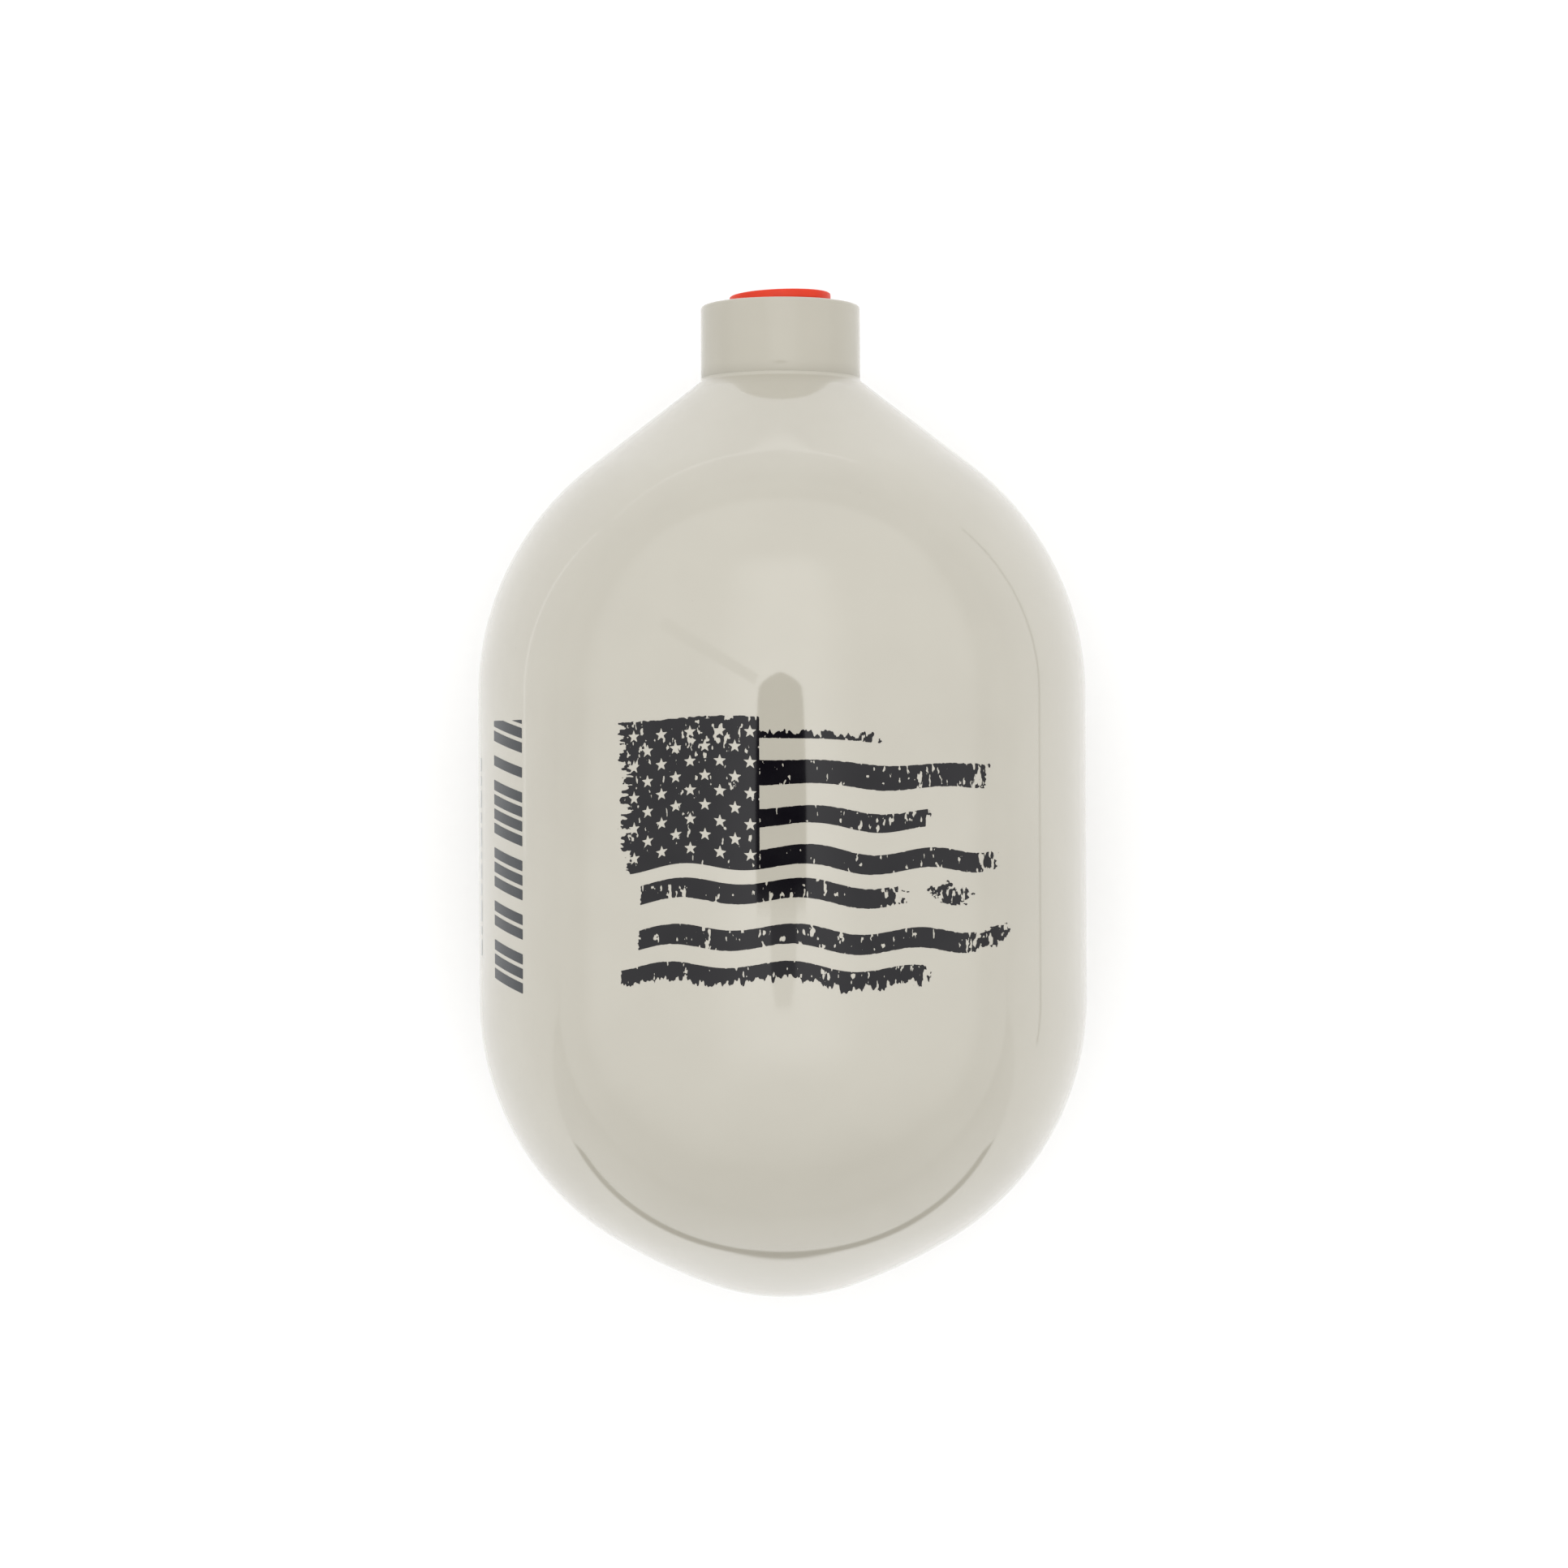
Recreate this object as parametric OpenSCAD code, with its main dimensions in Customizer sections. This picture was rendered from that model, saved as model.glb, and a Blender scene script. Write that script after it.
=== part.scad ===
// Compact composite air bottle: a seamless aluminium liner, wound with glass and carbon
// fibre, with printed decals on the barrel and a push-in plug that keeps the neck thread clean.
// The bottle is drawn upright and then laid on its side: +Y runs along its axis to the neck,
// +Z is up, and the origin is on the surface under the middle of the bottle and its plug.

/* [Barrel] */
// Outer diameter of the straight barrel
barrel_d = 116; // [112:1:124]
// Length of the straight barrel
barrel_len = 58; // [50:1:120]

/* [Domes] */
// Radius of the shoulder arc between the barrel and the neck cone
shoulder_r = 55; // [50:0.5:56]
// Turn of the shoulder arc, which is also the slope of the neck cone
shoulder_turn = 52.3; // [48:0.1:56]
// Radius of the first arc below the barrel
heel_r = 53; // [50:0.5:56]
// Turn of the first arc below the barrel
heel_turn = 57.5; // [54:0.5:60]
// Radius of the flatter arc that follows it
base_r = 105; // [95:1:115]
// Slope where the base arc meets the round end cap
cap_slope = 69; // [66:0.5:72]

/* [Neck] */
// Outer diameter of the neck
neck_d = 30.5; // [30:0.1:34]
// Outer diameter of the liner where the wraps close round it, below the neck
neck_root_d = 29.6; // [27:0.1:29.8]
// Height of the neck above the cone
neck_len = 14.4; // [12:0.1:18]
// Radius of the round edge at the top of the neck
neck_edge_r = 0.6; // [0.4:0.1:1.5]
// Radius of the resin fillet at the foot of the neck
neck_fillet_r = 1; // [0.6:0.1:3]

/* [Thread] */
// Major diameter of the neck thread, 5/8 inch
thread_major_d = 15.875; // [15:0.001:17]
// Minor diameter of the neck thread
thread_minor_d = 14.4; // [13.8:0.1:14.6]
// Threads to the inch
threads_per_inch = 18; // [14, 16, 18, 20]

/* [Walls] */
// Outer glass wrap, with its resin and paint
outer_wrap_t = 1.2; // [0.8:0.1:1.6]
// Each helical carbon layer
helical_t = 0.7; // [0.6:0.05:1.2]
// Each hoop carbon layer on the barrel
hoop_t = 0.95; // [0.8:0.05:1.4]
// Glass layer that keeps the carbon off the aluminium
barrier_t = 0.3; // [0.2:0.1:0.6]
// Aluminium liner
liner_t = 2.2; // [2:0.1:3.2]

/* [Plug] */
// Diameter of the plug's flange
flange_d = 19.4; // [18.6:0.1:24]
// Thickness of the plug's flange
flange_t = 1.75; // [1.2:0.05:2.5]
// Gap between the flange and the neck at the flange's middle
plug_standoff = 0.45; // [0.4:0.05:2]
// Lean of the plug in the neck
plug_lean = 2; // [0:0.1:2]
// Depth of the plug in the neck
plug_depth = 13; // [10:0.5:14]

/* [Decals] */
// Thickness of the printed film
film_t = 0.05; // [0.04:0.01:0.1]
// Height of one stripe of the banner
stripe_h = 3.8; // [3:0.1:4]
// Width of the banner's star field
star_field_w = 27.7; // [20:0.1:32]
// Width of the banner's stripes beyond the star field
stripe_run = 47; // [35:1:50]

/* [Hidden] */
$fn = 96;
barrel_r = barrel_d / 2;
neck_r = neck_d / 2;
neck_root_r = neck_root_d / 2;
minor_r = thread_minor_d / 2;
major_r = thread_major_d / 2;
pitch = 25.4 / threads_per_inch;

// Depth of each boundary between two layers, measured in from the outer surface
glass_in = outer_wrap_t;
hoop2_out = glass_in + helical_t;
hoop2_in = hoop2_out + hoop_t;
hoop1_out = hoop2_in + helical_t;
hoop1_in = hoop1_out + hoop_t;
barrier_in = hoop1_in + barrier_t;
cavity_in = barrier_in + liner_t;

// Upright profile, as [radius, height], with height 0 at the bottom of the straight barrel
function on_arc(c, r, a) = c + r * [cos(a), sin(a)];
shoulder_c = [barrel_r - shoulder_r, barrel_len];
cone_start = on_arc(shoulder_c, shoulder_r, shoulder_turn);
function cone_z(r, inset) = cone_start.y + (cone_start.x - r) / tan(shoulder_turn) - inset / sin(shoulder_turn);
heel_c = [barrel_r - heel_r, 0];
heel_end = on_arc(heel_c, heel_r, -heel_turn);
base_c = heel_end - base_r * [cos(heel_turn), -sin(heel_turn)];
base_end = on_arc(base_c, base_r, -cap_slope);
cap_r = base_end.x / cos(cap_slope);
cap_c = [0, base_end.y + cap_r * sin(cap_slope)];
tip_z = cap_c.y - cap_r;

neck_foot_z = cone_z(neck_r, 0);
neck_top_z = neck_foot_z + neck_len;
fillet_c = [neck_r + neck_fillet_r, neck_foot_z + neck_fillet_r * tan(shoulder_turn / 2)];
bore_foot_z = cone_z(minor_r, cavity_in);
mouth_r = major_r + 0.9;
mouth_depth = 1.4;
plain_bore = 1;
thread_count = floor((neck_top_z - mouth_depth - bore_foot_z - plain_bore) / pitch);

// How far a cutting shape runs past what it cuts, and how deep a joined one sits in its neighbour
past = 1;
sunk = 4;

// The last turns of a hoop layer taper off over this run, by this depth
hoop_run = 8;
hoop_drop = 2;

// The plug's hollow body, from just inside the bore at the flange to a narrower foot
plug_wall = 1.2;
plug_top_r = minor_r - 0.2;
plug_foot_r = minor_r - 1;

// The laid-down frame: the plug's highest edge and the bottle's tip are equally far from the origin
flange_edge = 0.4;
plug_top_z = neck_top_z + plug_standoff + flange_t * cos(plug_lean) + (flange_d / 2 - flange_edge) * sin(plug_lean);
middle_z = (tip_z + plug_top_z) / 2;

// Arc position s on the barrel is measured along the surface, from the top of the lying bottle
function film_angle(s) = s / barrel_r * 180 / PI - 90;
banner_top_z = 53.5;
banner_left_s = -31.7;
stripe_ends = [0.40, 0.90, 0.68, 0.98, 0.75, 0.92, 0.68];
print_gap = 0.3;
star_r = 1.25;
star_notch = 0.4;
star_columns = 9;
star_rows = 5;
mark_s = -61.7;
mark_low_z = 2.5;
mark_h = 12;
bar_w = 4.6;
bar_gap = 2;
bar_slant = 3;
print_s = -78.6;
print_low_z = 3.5;
dash_pitch = 3;
dash_count = 13;
dash_len = 1.9;
dash_w = 1.6;
stamp_depth = 2;

liner_grey = "#b9bcc0";
glass_grey = "#cfd3c6";
carbon_black = "#26282b";
paint_cream = "#c9c6ba";
print_black = "#2b2a2f";
print_slate = "#484c50";
print_pale = "#b4b4ae";
plug_red = "#e5321f";

// Turns the upright bottle onto its side, with the banner on top
module lay_down() {
    translate([0, -middle_z, barrel_r]) rotate([-90, 0, 0]) children();
}

// Slice of a disc between two angles
module pie(c, r, a0, a1) {
    intersection() {
        translate(c) circle(r = r);
        polygon([c, on_arc(c, 2 * r, a0), on_arc(c, 2 * r, a1)]);
    }
}

// Half section of the bottle without its neck, moved in from the outer surface
module half_section(inset, top = []) {
    core = [[0, tip_z + inset], on_arc(cap_c, cap_r - inset, -cap_slope),
        on_arc(heel_c, heel_r - inset, -heel_turn), [barrel_r - inset, 0], [barrel_r - inset, barrel_len],
        on_arc(shoulder_c, shoulder_r - inset, shoulder_turn)];
    intersection() {
        union() {
            polygon(concat(core, len(top) > 0 ? top : [[0, cone_z(0, inset)]]));
            pie(shoulder_c, shoulder_r - inset, 0, shoulder_turn);
            pie(heel_c, heel_r - inset, -heel_turn, 0);
            pie(base_c, base_r - inset, -cap_slope, -heel_turn);
            pie(cap_c, cap_r - inset, -90, -cap_slope);
        }
        translate([0, tip_z]) square([barrel_r, neck_top_z - tip_z]);
    }
}

// Half section of one wound layer, which stops at the neck
module layer_section(outer, inner) {
    difference() {
        half_section(outer);
        half_section(inner);
        translate([-past, 0]) square([neck_root_r + past, neck_top_z + past]);
    }
}

// Band that holds a hoop layer, with its last turns tapering off beyond the barrel
module hoop_band(inner) {
    low_r = barrel_r - inner - hoop_drop;
    polygon([[low_r, -hoop_run], [barrel_r, 0], [barrel_r, barrel_len], [low_r, barrel_len + hoop_run]]);
}

module hoop_wrap(outer, inner) {
    color(carbon_black) lay_down() rotate_extrude() intersection() {
        layer_section(outer, inner);
        hoop_band(inner);
    }
}

// Helical layer, with the room that its hoop layer takes left out
module helical_wrap(outer, hoop_outer, inner) {
    color(carbon_black) lay_down() rotate_extrude() difference() {
        layer_section(outer, inner);
        intersection() {
            layer_section(hoop_outer, inner);
            hoop_band(inner);
        }
    }
}

// Half section of the neck bore: the thread as rings of the standard form, and a chamfered mouth.
// The form's flats are an eighth of the pitch at the major diameter and a quarter at the minor one.
module bore_section() {
    ring_top = neck_top_z - mouth_depth;
    turn = [for (i = [0:thread_count - 1]) let (z = ring_top - i * pitch) each [
        [major_r, z - pitch / 16], [minor_r, z - pitch * 3 / 8], [minor_r, z - pitch * 5 / 8],
        [major_r, z - pitch * 15 / 16]]];
    polygon(concat([[0, neck_top_z + past], [mouth_r, neck_top_z + past], [mouth_r, neck_top_z], [major_r, ring_top]],
        turn, [[minor_r, ring_top - (thread_count + 0.5) * pitch], [minor_r, bore_foot_z - past],
        [0, bore_foot_z - past]]));
}

module liner() {
    color(liner_grey) lay_down() rotate_extrude() difference() {
        union() {
            half_section(barrier_in);
            translate([0, neck_foot_z - sunk]) square([neck_root_r, 2 * sunk]);
            translate([0, fillet_c.y]) square([neck_r, neck_top_z - neck_edge_r - fillet_c.y]);
            translate([0, neck_top_z - sunk]) square([neck_r - neck_edge_r, sunk]);
            pie([neck_r - neck_edge_r, neck_top_z - neck_edge_r], neck_edge_r, 0, 90);
        }
        half_section(cavity_in);
        bore_section();
    }
}

module barrier_wrap() {
    color(glass_grey) lay_down() rotate_extrude() layer_section(hoop1_in, barrier_in);
}

module inner_helical_wrap() {
    helical_wrap(hoop2_in, hoop1_out, hoop1_in);
}

module inner_hoop_wrap() {
    hoop_wrap(hoop1_out, hoop1_in);
}

module outer_helical_wrap() {
    helical_wrap(glass_in, hoop2_out, hoop2_in);
}

module outer_hoop_wrap() {
    hoop_wrap(hoop2_out, hoop2_in);
}

// Outermost layer, with a fillet of resin where it meets the neck
module outer_wrap() {
    color(paint_cream) lay_down() rotate_extrude() difference() {
        half_section(0, [on_arc(fillet_c, neck_fillet_r, 180 + shoulder_turn), fillet_c, [0, fillet_c.y]]);
        translate(fillet_c) circle(r = neck_fillet_r);
        half_section(glass_in);
        translate([-past, 0]) square([neck_root_r + past, neck_top_z + past]);
    }
}

// Patch of printed film on the barrel
module film(s0, s1, z0, z1) {
    rotate([0, 0, film_angle(s0)]) rotate_extrude(angle = (s1 - s0) / barrel_r * 180 / PI)
        translate([barrel_r, z0]) square([film_t, z1 - z0]);
}

// Stands a flat outline up on the barrel at arc position s, through the film
module stamp(s, z) {
    rotate([0, 0, film_angle(s)]) translate([barrel_r - stamp_depth, 0, z]) rotate([90, 0, 90])
        linear_extrude(2 * stamp_depth) children();
}

module star() {
    polygon([for (i = [0:9]) let (r = i % 2 == 0 ? star_r : star_r * star_notch) r * [sin(i * 36), cos(i * 36)]]);
}

// Banner of seven printed stripes with a field of stars left open
module banner_decal() {
    field_right = banner_left_s + star_field_w;
    field_h = 7 * stripe_h;
    color(print_black) lay_down() {
        difference() {
            film(banner_left_s, field_right, banner_top_z - field_h, banner_top_z);
            for (i = [0:star_columns - 1], j = [0:star_rows - 1 - i % 2])
                stamp(banner_left_s + star_field_w * (i + 0.7) / (star_columns + 0.4),
                    banner_top_z - field_h * (j + 0.5 + i % 2 * 0.5) / star_rows) star();
        }
        for (i = [0:6]) film(i < 4 ? field_right + print_gap : banner_left_s + stripe_h,
            field_right + stripe_run * stripe_ends[i],
            banner_top_z - (2 * i + 1) * stripe_h, banner_top_z - 2 * i * stripe_h);
    }
}

// Plain slanted bars along the side of the barrel
module side_mark_decal() {
    lengths = [1, 1, 1, 4, 1];
    starts = [for (i = 0, z = mark_low_z; i < len(lengths); z = z + lengths[i] * bar_w + bar_gap, i = i + 1) z];
    color(print_slate) lay_down() for (i = [0:len(lengths) - 1]) intersection() {
        film(mark_s - mark_h, mark_s + mark_h, mark_low_z - bar_w, mark_low_z + 12 * bar_w);
        stamp(mark_s, starts[i]) polygon([[-mark_h / 2, bar_slant], [-mark_h / 2, bar_slant + lengths[i] * bar_w],
            [mark_h / 2, lengths[i] * bar_w], [mark_h / 2, 0]]);
    }
}

// Row of plain dashes below the side mark
module fine_print_decal() {
    color(print_pale) lay_down() for (i = [0:dash_count - 1])
        film(print_s - dash_w / 2, print_s + dash_w / 2, print_low_z + i * dash_pitch,
            print_low_z + i * dash_pitch + dash_len);
}

// Soft hollow plug with a flange, pushed into the neck
module thread_plug() {
    edge = flange_edge;
    rim_r = flange_d / 2;
    cup_r = plug_top_r - plug_wall;
    floor_z = plug_wall - plug_depth;
    color(plug_red) lay_down() translate([0, 0, neck_top_z + plug_standoff]) rotate([0, -plug_lean, 0])
        rotate_extrude() polygon([[0, -plug_depth], [plug_foot_r - edge, -plug_depth],
            [plug_foot_r, edge - plug_depth], [plug_top_r, 0], [rim_r - edge, 0], [rim_r, edge],
            [rim_r, flange_t - edge], [rim_r - edge, flange_t], [cup_r + edge, flange_t], [cup_r, flange_t - edge],
            [plug_foot_r - plug_wall, floor_z], [0, floor_z]]);
}

liner();
barrier_wrap();
inner_helical_wrap();
inner_hoop_wrap();
outer_helical_wrap();
outer_hoop_wrap();
outer_wrap();
banner_decal();
side_mark_decal();
fine_print_decal();
thread_plug();
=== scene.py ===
from math import cos, pi, radians, sin, tan

import bpy
import numpy as np
from mathutils import Matrix, Vector


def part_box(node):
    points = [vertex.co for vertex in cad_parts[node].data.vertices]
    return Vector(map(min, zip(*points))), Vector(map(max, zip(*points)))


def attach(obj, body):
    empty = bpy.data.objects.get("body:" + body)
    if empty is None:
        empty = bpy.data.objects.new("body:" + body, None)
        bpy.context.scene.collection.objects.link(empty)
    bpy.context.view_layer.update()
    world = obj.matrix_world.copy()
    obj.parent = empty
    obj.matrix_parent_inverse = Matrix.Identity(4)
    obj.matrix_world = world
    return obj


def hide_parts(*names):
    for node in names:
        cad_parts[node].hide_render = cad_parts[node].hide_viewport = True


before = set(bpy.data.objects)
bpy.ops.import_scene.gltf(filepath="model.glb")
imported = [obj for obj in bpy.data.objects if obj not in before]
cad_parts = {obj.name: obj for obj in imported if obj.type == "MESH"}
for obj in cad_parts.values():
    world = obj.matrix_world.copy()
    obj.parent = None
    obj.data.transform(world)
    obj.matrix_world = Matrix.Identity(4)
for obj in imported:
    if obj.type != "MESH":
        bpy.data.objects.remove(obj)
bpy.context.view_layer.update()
mm = 0.001

print("Reading the bottle's place from the frame")
wrapLow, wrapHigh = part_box("outer_wrap")
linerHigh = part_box("liner")[1]
axisHeight = (wrapLow[2] + wrapHigh[2]) / 2  # the bottle's axis runs along +Y at this height
barrelRadius = (wrapHigh[0] - wrapLow[0]) / 2
tipY = wrapLow[1]
neckTopY = linerHigh[1]

# The bottle's outline, in metres and degrees, as the frame has it
bottleShape = {
    "barrelLength": 58 * mm,
    "shoulderRadius": 55 * mm,
    "shoulderTurn": 52.3,
    "heelRadius": 53 * mm,
    "heelTurn": 57.5,
    "baseRadius": 105 * mm,
    "capSlope": 69,
    "neckRadius": 15.25 * mm,
    "neckRootRadius": 14.8 * mm,
    "neckEdge": 0.6 * mm,
    "filletRadius": 1 * mm,
    "wrapInset": 1.2 * mm,
    "linerOuterInset": 4.8 * mm,
    "linerInnerInset": 7 * mm,
}


def onArc(centre, radius, angle):
    return (centre[0] + radius * cos(radians(angle)), centre[1] + radius * sin(radians(angle)))


def arcPoints(centre, radius, start, end, count):
    return [onArc(centre, radius, start + (end - start) * i / count) for i in range(count + 1)]


# Arc centres as (radius, y), with y counted from the low end of the straight barrel until it is known
shape = bottleShape
heelCentre = (barrelRadius - shape["heelRadius"], 0)
heelEnd = onArc(heelCentre, shape["heelRadius"], -shape["heelTurn"])
baseCentre = onArc(heelEnd, shape["baseRadius"], 180 - shape["heelTurn"])
baseEnd = onArc(baseCentre, shape["baseRadius"], -shape["capSlope"])
capRadius = baseEnd[0] / cos(radians(shape["capSlope"]))
capCentre = (0, baseEnd[1] + capRadius * sin(radians(shape["capSlope"])))
barrelLowY = tipY - (capCentre[1] - capRadius)
barrelHighY = barrelLowY + shape["barrelLength"]
heelCentre, baseCentre, capCentre = ((c[0], c[1] + barrelLowY) for c in (heelCentre, baseCentre, capCentre))
shoulderCentre = (barrelRadius - shape["shoulderRadius"], barrelHighY)
coneStart = onArc(shoulderCentre, shape["shoulderRadius"], shape["shoulderTurn"])


def coneY(radius, inset=0.0):
    turn = radians(shape["shoulderTurn"])
    return coneStart[1] + (coneStart[0] - radius) / tan(turn) - inset / sin(turn)


def bottleOutline(inset, steps, top):
    # Points from the tip up to the neck, moved in from the outer surface by inset
    turn = shape["shoulderTurn"]
    points = arcPoints(capCentre, capRadius - inset, -90, -shape["capSlope"], steps // 3)
    points += arcPoints(baseCentre, shape["baseRadius"] - inset, -shape["capSlope"], -shape["heelTurn"],
                        steps // 3)[1:]
    points += arcPoints(heelCentre, shape["heelRadius"] - inset, -shape["heelTurn"], 0, steps)[1:]
    barrelSteps = max(2, steps // 2)
    for i in range(1, barrelSteps):
        points.append((barrelRadius - inset, barrelLowY + shape["barrelLength"] * i / barrelSteps))
    points += arcPoints(shoulderCentre, shape["shoulderRadius"] - inset, 0, turn, steps)
    end = points[-1]
    coneSteps = max(2, steps // 4)
    for i in range(1, coneSteps + 1):
        radius = end[0] + (top - end[0]) * i / coneSteps
        points.append((radius, coneY(radius, inset)))
    points[0] = (0, points[0][1])
    return points


def turnedMesh(name, rings, segments, materials, bandMaterial=None):
    # Turns an outline of (radius, y) round the bottle's axis. A radius can be a function of the angle.
    angles = np.linspace(0, 2 * pi, segments, endpoint=False)
    vertices, starts = [], []
    for radius, y in rings:
        starts.append(len(vertices))
        if not callable(radius) and radius < 1e-7:
            vertices.append((0, y, axisHeight))
            continue
        for angle in angles:
            r = radius(angle) if callable(radius) else radius
            vertices.append((r * sin(angle), y, axisHeight + r * cos(angle)))
    starts.append(len(vertices))
    faces, slots = [], []
    for band in range(len(rings) - 1):
        low, high = starts[band], starts[band + 1]
        lowCount, highCount = starts[band + 1] - low, starts[band + 2] - high
        for i in range(segments):
            j = (i + 1) % segments
            if lowCount == 1:
                faces.append((low, high + j, high + i))
            elif highCount == 1:
                faces.append((low + i, low + j, high))
            else:
                faces.append((low + i, low + j, high + j, high + i))
            slots.append(bandMaterial(band) if bandMaterial else 0)
    mesh = bpy.data.meshes.new(name)
    mesh.from_pydata(vertices, [], faces)
    mesh.flip_normals()
    for material in materials:
        mesh.materials.append(material)
    mesh.polygons.foreach_set("material_index", slots)
    mesh.polygons.foreach_set("use_smooth", [True] * len(faces))
    mesh.update()
    piece = bpy.data.objects.new(name, mesh)
    bpy.context.scene.collection.objects.link(piece)
    return piece


def addNode(tree, kind, inputs=None, **settings):
    node = tree.nodes.new(kind)
    for key, value in settings.items():
        setattr(node, key, value)
    for key, value in (inputs or {}).items():
        node.inputs[key].default_value = value
    return node


def newFinish(name, shaderValues):
    material = bpy.data.materials.new(name)
    material.use_nodes = True
    tree = material.node_tree
    shader = tree.nodes["Principled BSDF"]
    for key, value in shaderValues.items():
        shader.inputs[key].default_value = value
    coords = addNode(tree, "ShaderNodeTexCoord")
    return material, tree, shader, coords.outputs["Object"]


def stretched(tree, vector, scale):
    mapping = addNode(tree, "ShaderNodeMapping", {"Scale": scale})
    tree.links.new(vector, mapping.inputs["Vector"])
    return mapping.outputs["Vector"]


def noiseOf(tree, vector, scale, detail=2.0, roughness=0.5):
    noise = addNode(tree, "ShaderNodeTexNoise", {"Scale": scale, "Detail": detail, "Roughness": roughness})
    tree.links.new(vector, noise.inputs["Vector"])
    return noise.outputs["Fac"]


def rampOf(tree, value, stops):
    ramp = addNode(tree, "ShaderNodeValToRGB")
    elements = ramp.color_ramp.elements
    while len(elements) < len(stops):
        elements.new(0.5)
    for element, (position, colour) in zip(elements, stops):
        element.position = position
        element.color = (*colour, 1)
    tree.links.new(value, ramp.inputs["Fac"])
    return ramp.outputs["Color"]


def mathOf(tree, operation, a, b):
    node = addNode(tree, "ShaderNodeMath", operation=operation)
    for socket, value in zip(node.inputs, (a, b)):
        if isinstance(value, (int, float)):
            socket.default_value = value
        else:
            tree.links.new(value, socket)
    return node.outputs[0]


def rangeOf(tree, value, fromMin, fromMax, toMin=0.0, toMax=1.0):
    spans = {"From Min": fromMin, "From Max": fromMax, "To Min": toMin, "To Max": toMax}
    node = addNode(tree, "ShaderNodeMapRange", spans)
    tree.links.new(value, node.inputs["Value"])
    return node.outputs["Result"]


def bumpOf(tree, height, distance, below=None, strength=1.0):
    bump = addNode(tree, "ShaderNodeBump", {"Strength": strength, "Distance": distance})
    tree.links.new(height, bump.inputs["Height"])
    if below:
        tree.links.new(below, bump.inputs["Normal"])
    return bump.outputs["Normal"]


print("Mixing the finishes")
paint = {
    "light": (0.378, 0.357, 0.300),
    "dark": (0.366, 0.345, 0.289),
    "nib": (0.3, 0.28, 0.24),
    "mottleSize": 18 * mm,
    "peelSize": 1.6 * mm,
    "peelDepth": 0.0006 * mm,
    "hoopPitch": 1.1 * mm,
    "hoopDepth": 0.0012 * mm,
    "speckSpacing": 14 * mm,
    "speckSize": 0.011,
}


def paintFinish(name, coatRoughness, coatIor, hoops):
    material, tree, shader, place = newFinish(name, {
        "Roughness": 0.6, "Specular IOR Level": 0.05, "IOR": 1.5,
        "Coat Weight": 1.0, "Coat Roughness": coatRoughness, "Coat IOR": coatIor})
    mottle = noiseOf(tree, place, 1 / paint["mottleSize"], 3)
    colour = rampOf(tree, mottle, [(0.35, paint["dark"]), (0.65, paint["light"])])
    # Rare dust nibs under the clear coat
    cells = addNode(tree, "ShaderNodeTexVoronoi", {"Scale": 1 / paint["speckSpacing"], "Randomness": 1.0})
    tree.links.new(place, cells.inputs["Vector"])
    speck = rangeOf(tree, cells.outputs["Distance"], paint["speckSize"] * 0.6, paint["speckSize"])
    mix = addNode(tree, "ShaderNodeMix", data_type="RGBA")
    mix.inputs[6].default_value = (*paint["nib"], 1)
    tree.links.new(speck, mix.inputs["Factor"])
    tree.links.new(colour, mix.inputs[7])
    tree.links.new(mix.outputs[2], shader.inputs["Base Color"])
    peel = noiseOf(tree, place, 1 / paint["peelSize"], 1)
    normal = bumpOf(tree, peel, paint["peelDepth"])
    if hoops:
        # The wound hoops below show through on the barrel as faint rings
        rings = noiseOf(tree, stretched(tree, place, (0.02, 1, 0.02)), 1 / paint["hoopPitch"], 2)
        axial = addNode(tree, "ShaderNodeSeparateXYZ")
        tree.links.new(place, axial.inputs[0])
        middle = (barrelLowY + barrelHighY) / 2
        away = mathOf(tree, "ABSOLUTE", mathOf(tree, "SUBTRACT", axial.outputs["Y"], middle), 0)
        onBarrel = rangeOf(tree, away, shape["barrelLength"] * 0.62, shape["barrelLength"] * 0.5)
        normal = bumpOf(tree, mathOf(tree, "MULTIPLY", rings, onBarrel), paint["hoopDepth"], normal)
    tree.links.new(normal, shader.inputs["Normal"])
    tree.links.new(normal, shader.inputs["Coat Normal"])
    return material


def printFinish(name, dark, light):
    material, tree, shader, place = newFinish(name, {
        "Roughness": 0.6, "Specular IOR Level": 0.0, "IOR": 1.5,
        "Coat Weight": 1.0, "Coat Roughness": 0.06, "Coat IOR": 1.34})
    patches = noiseOf(tree, place, 1 / (6 * mm), 4)
    tree.links.new(rampOf(tree, patches, [(0.3, dark), (0.7, light)]), shader.inputs["Base Color"])
    peel = noiseOf(tree, place, 1 / paint["peelSize"], 1)
    normal = bumpOf(tree, peel, paint["peelDepth"])
    tree.links.new(normal, shader.inputs["Normal"])
    tree.links.new(normal, shader.inputs["Coat Normal"])
    return material


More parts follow.
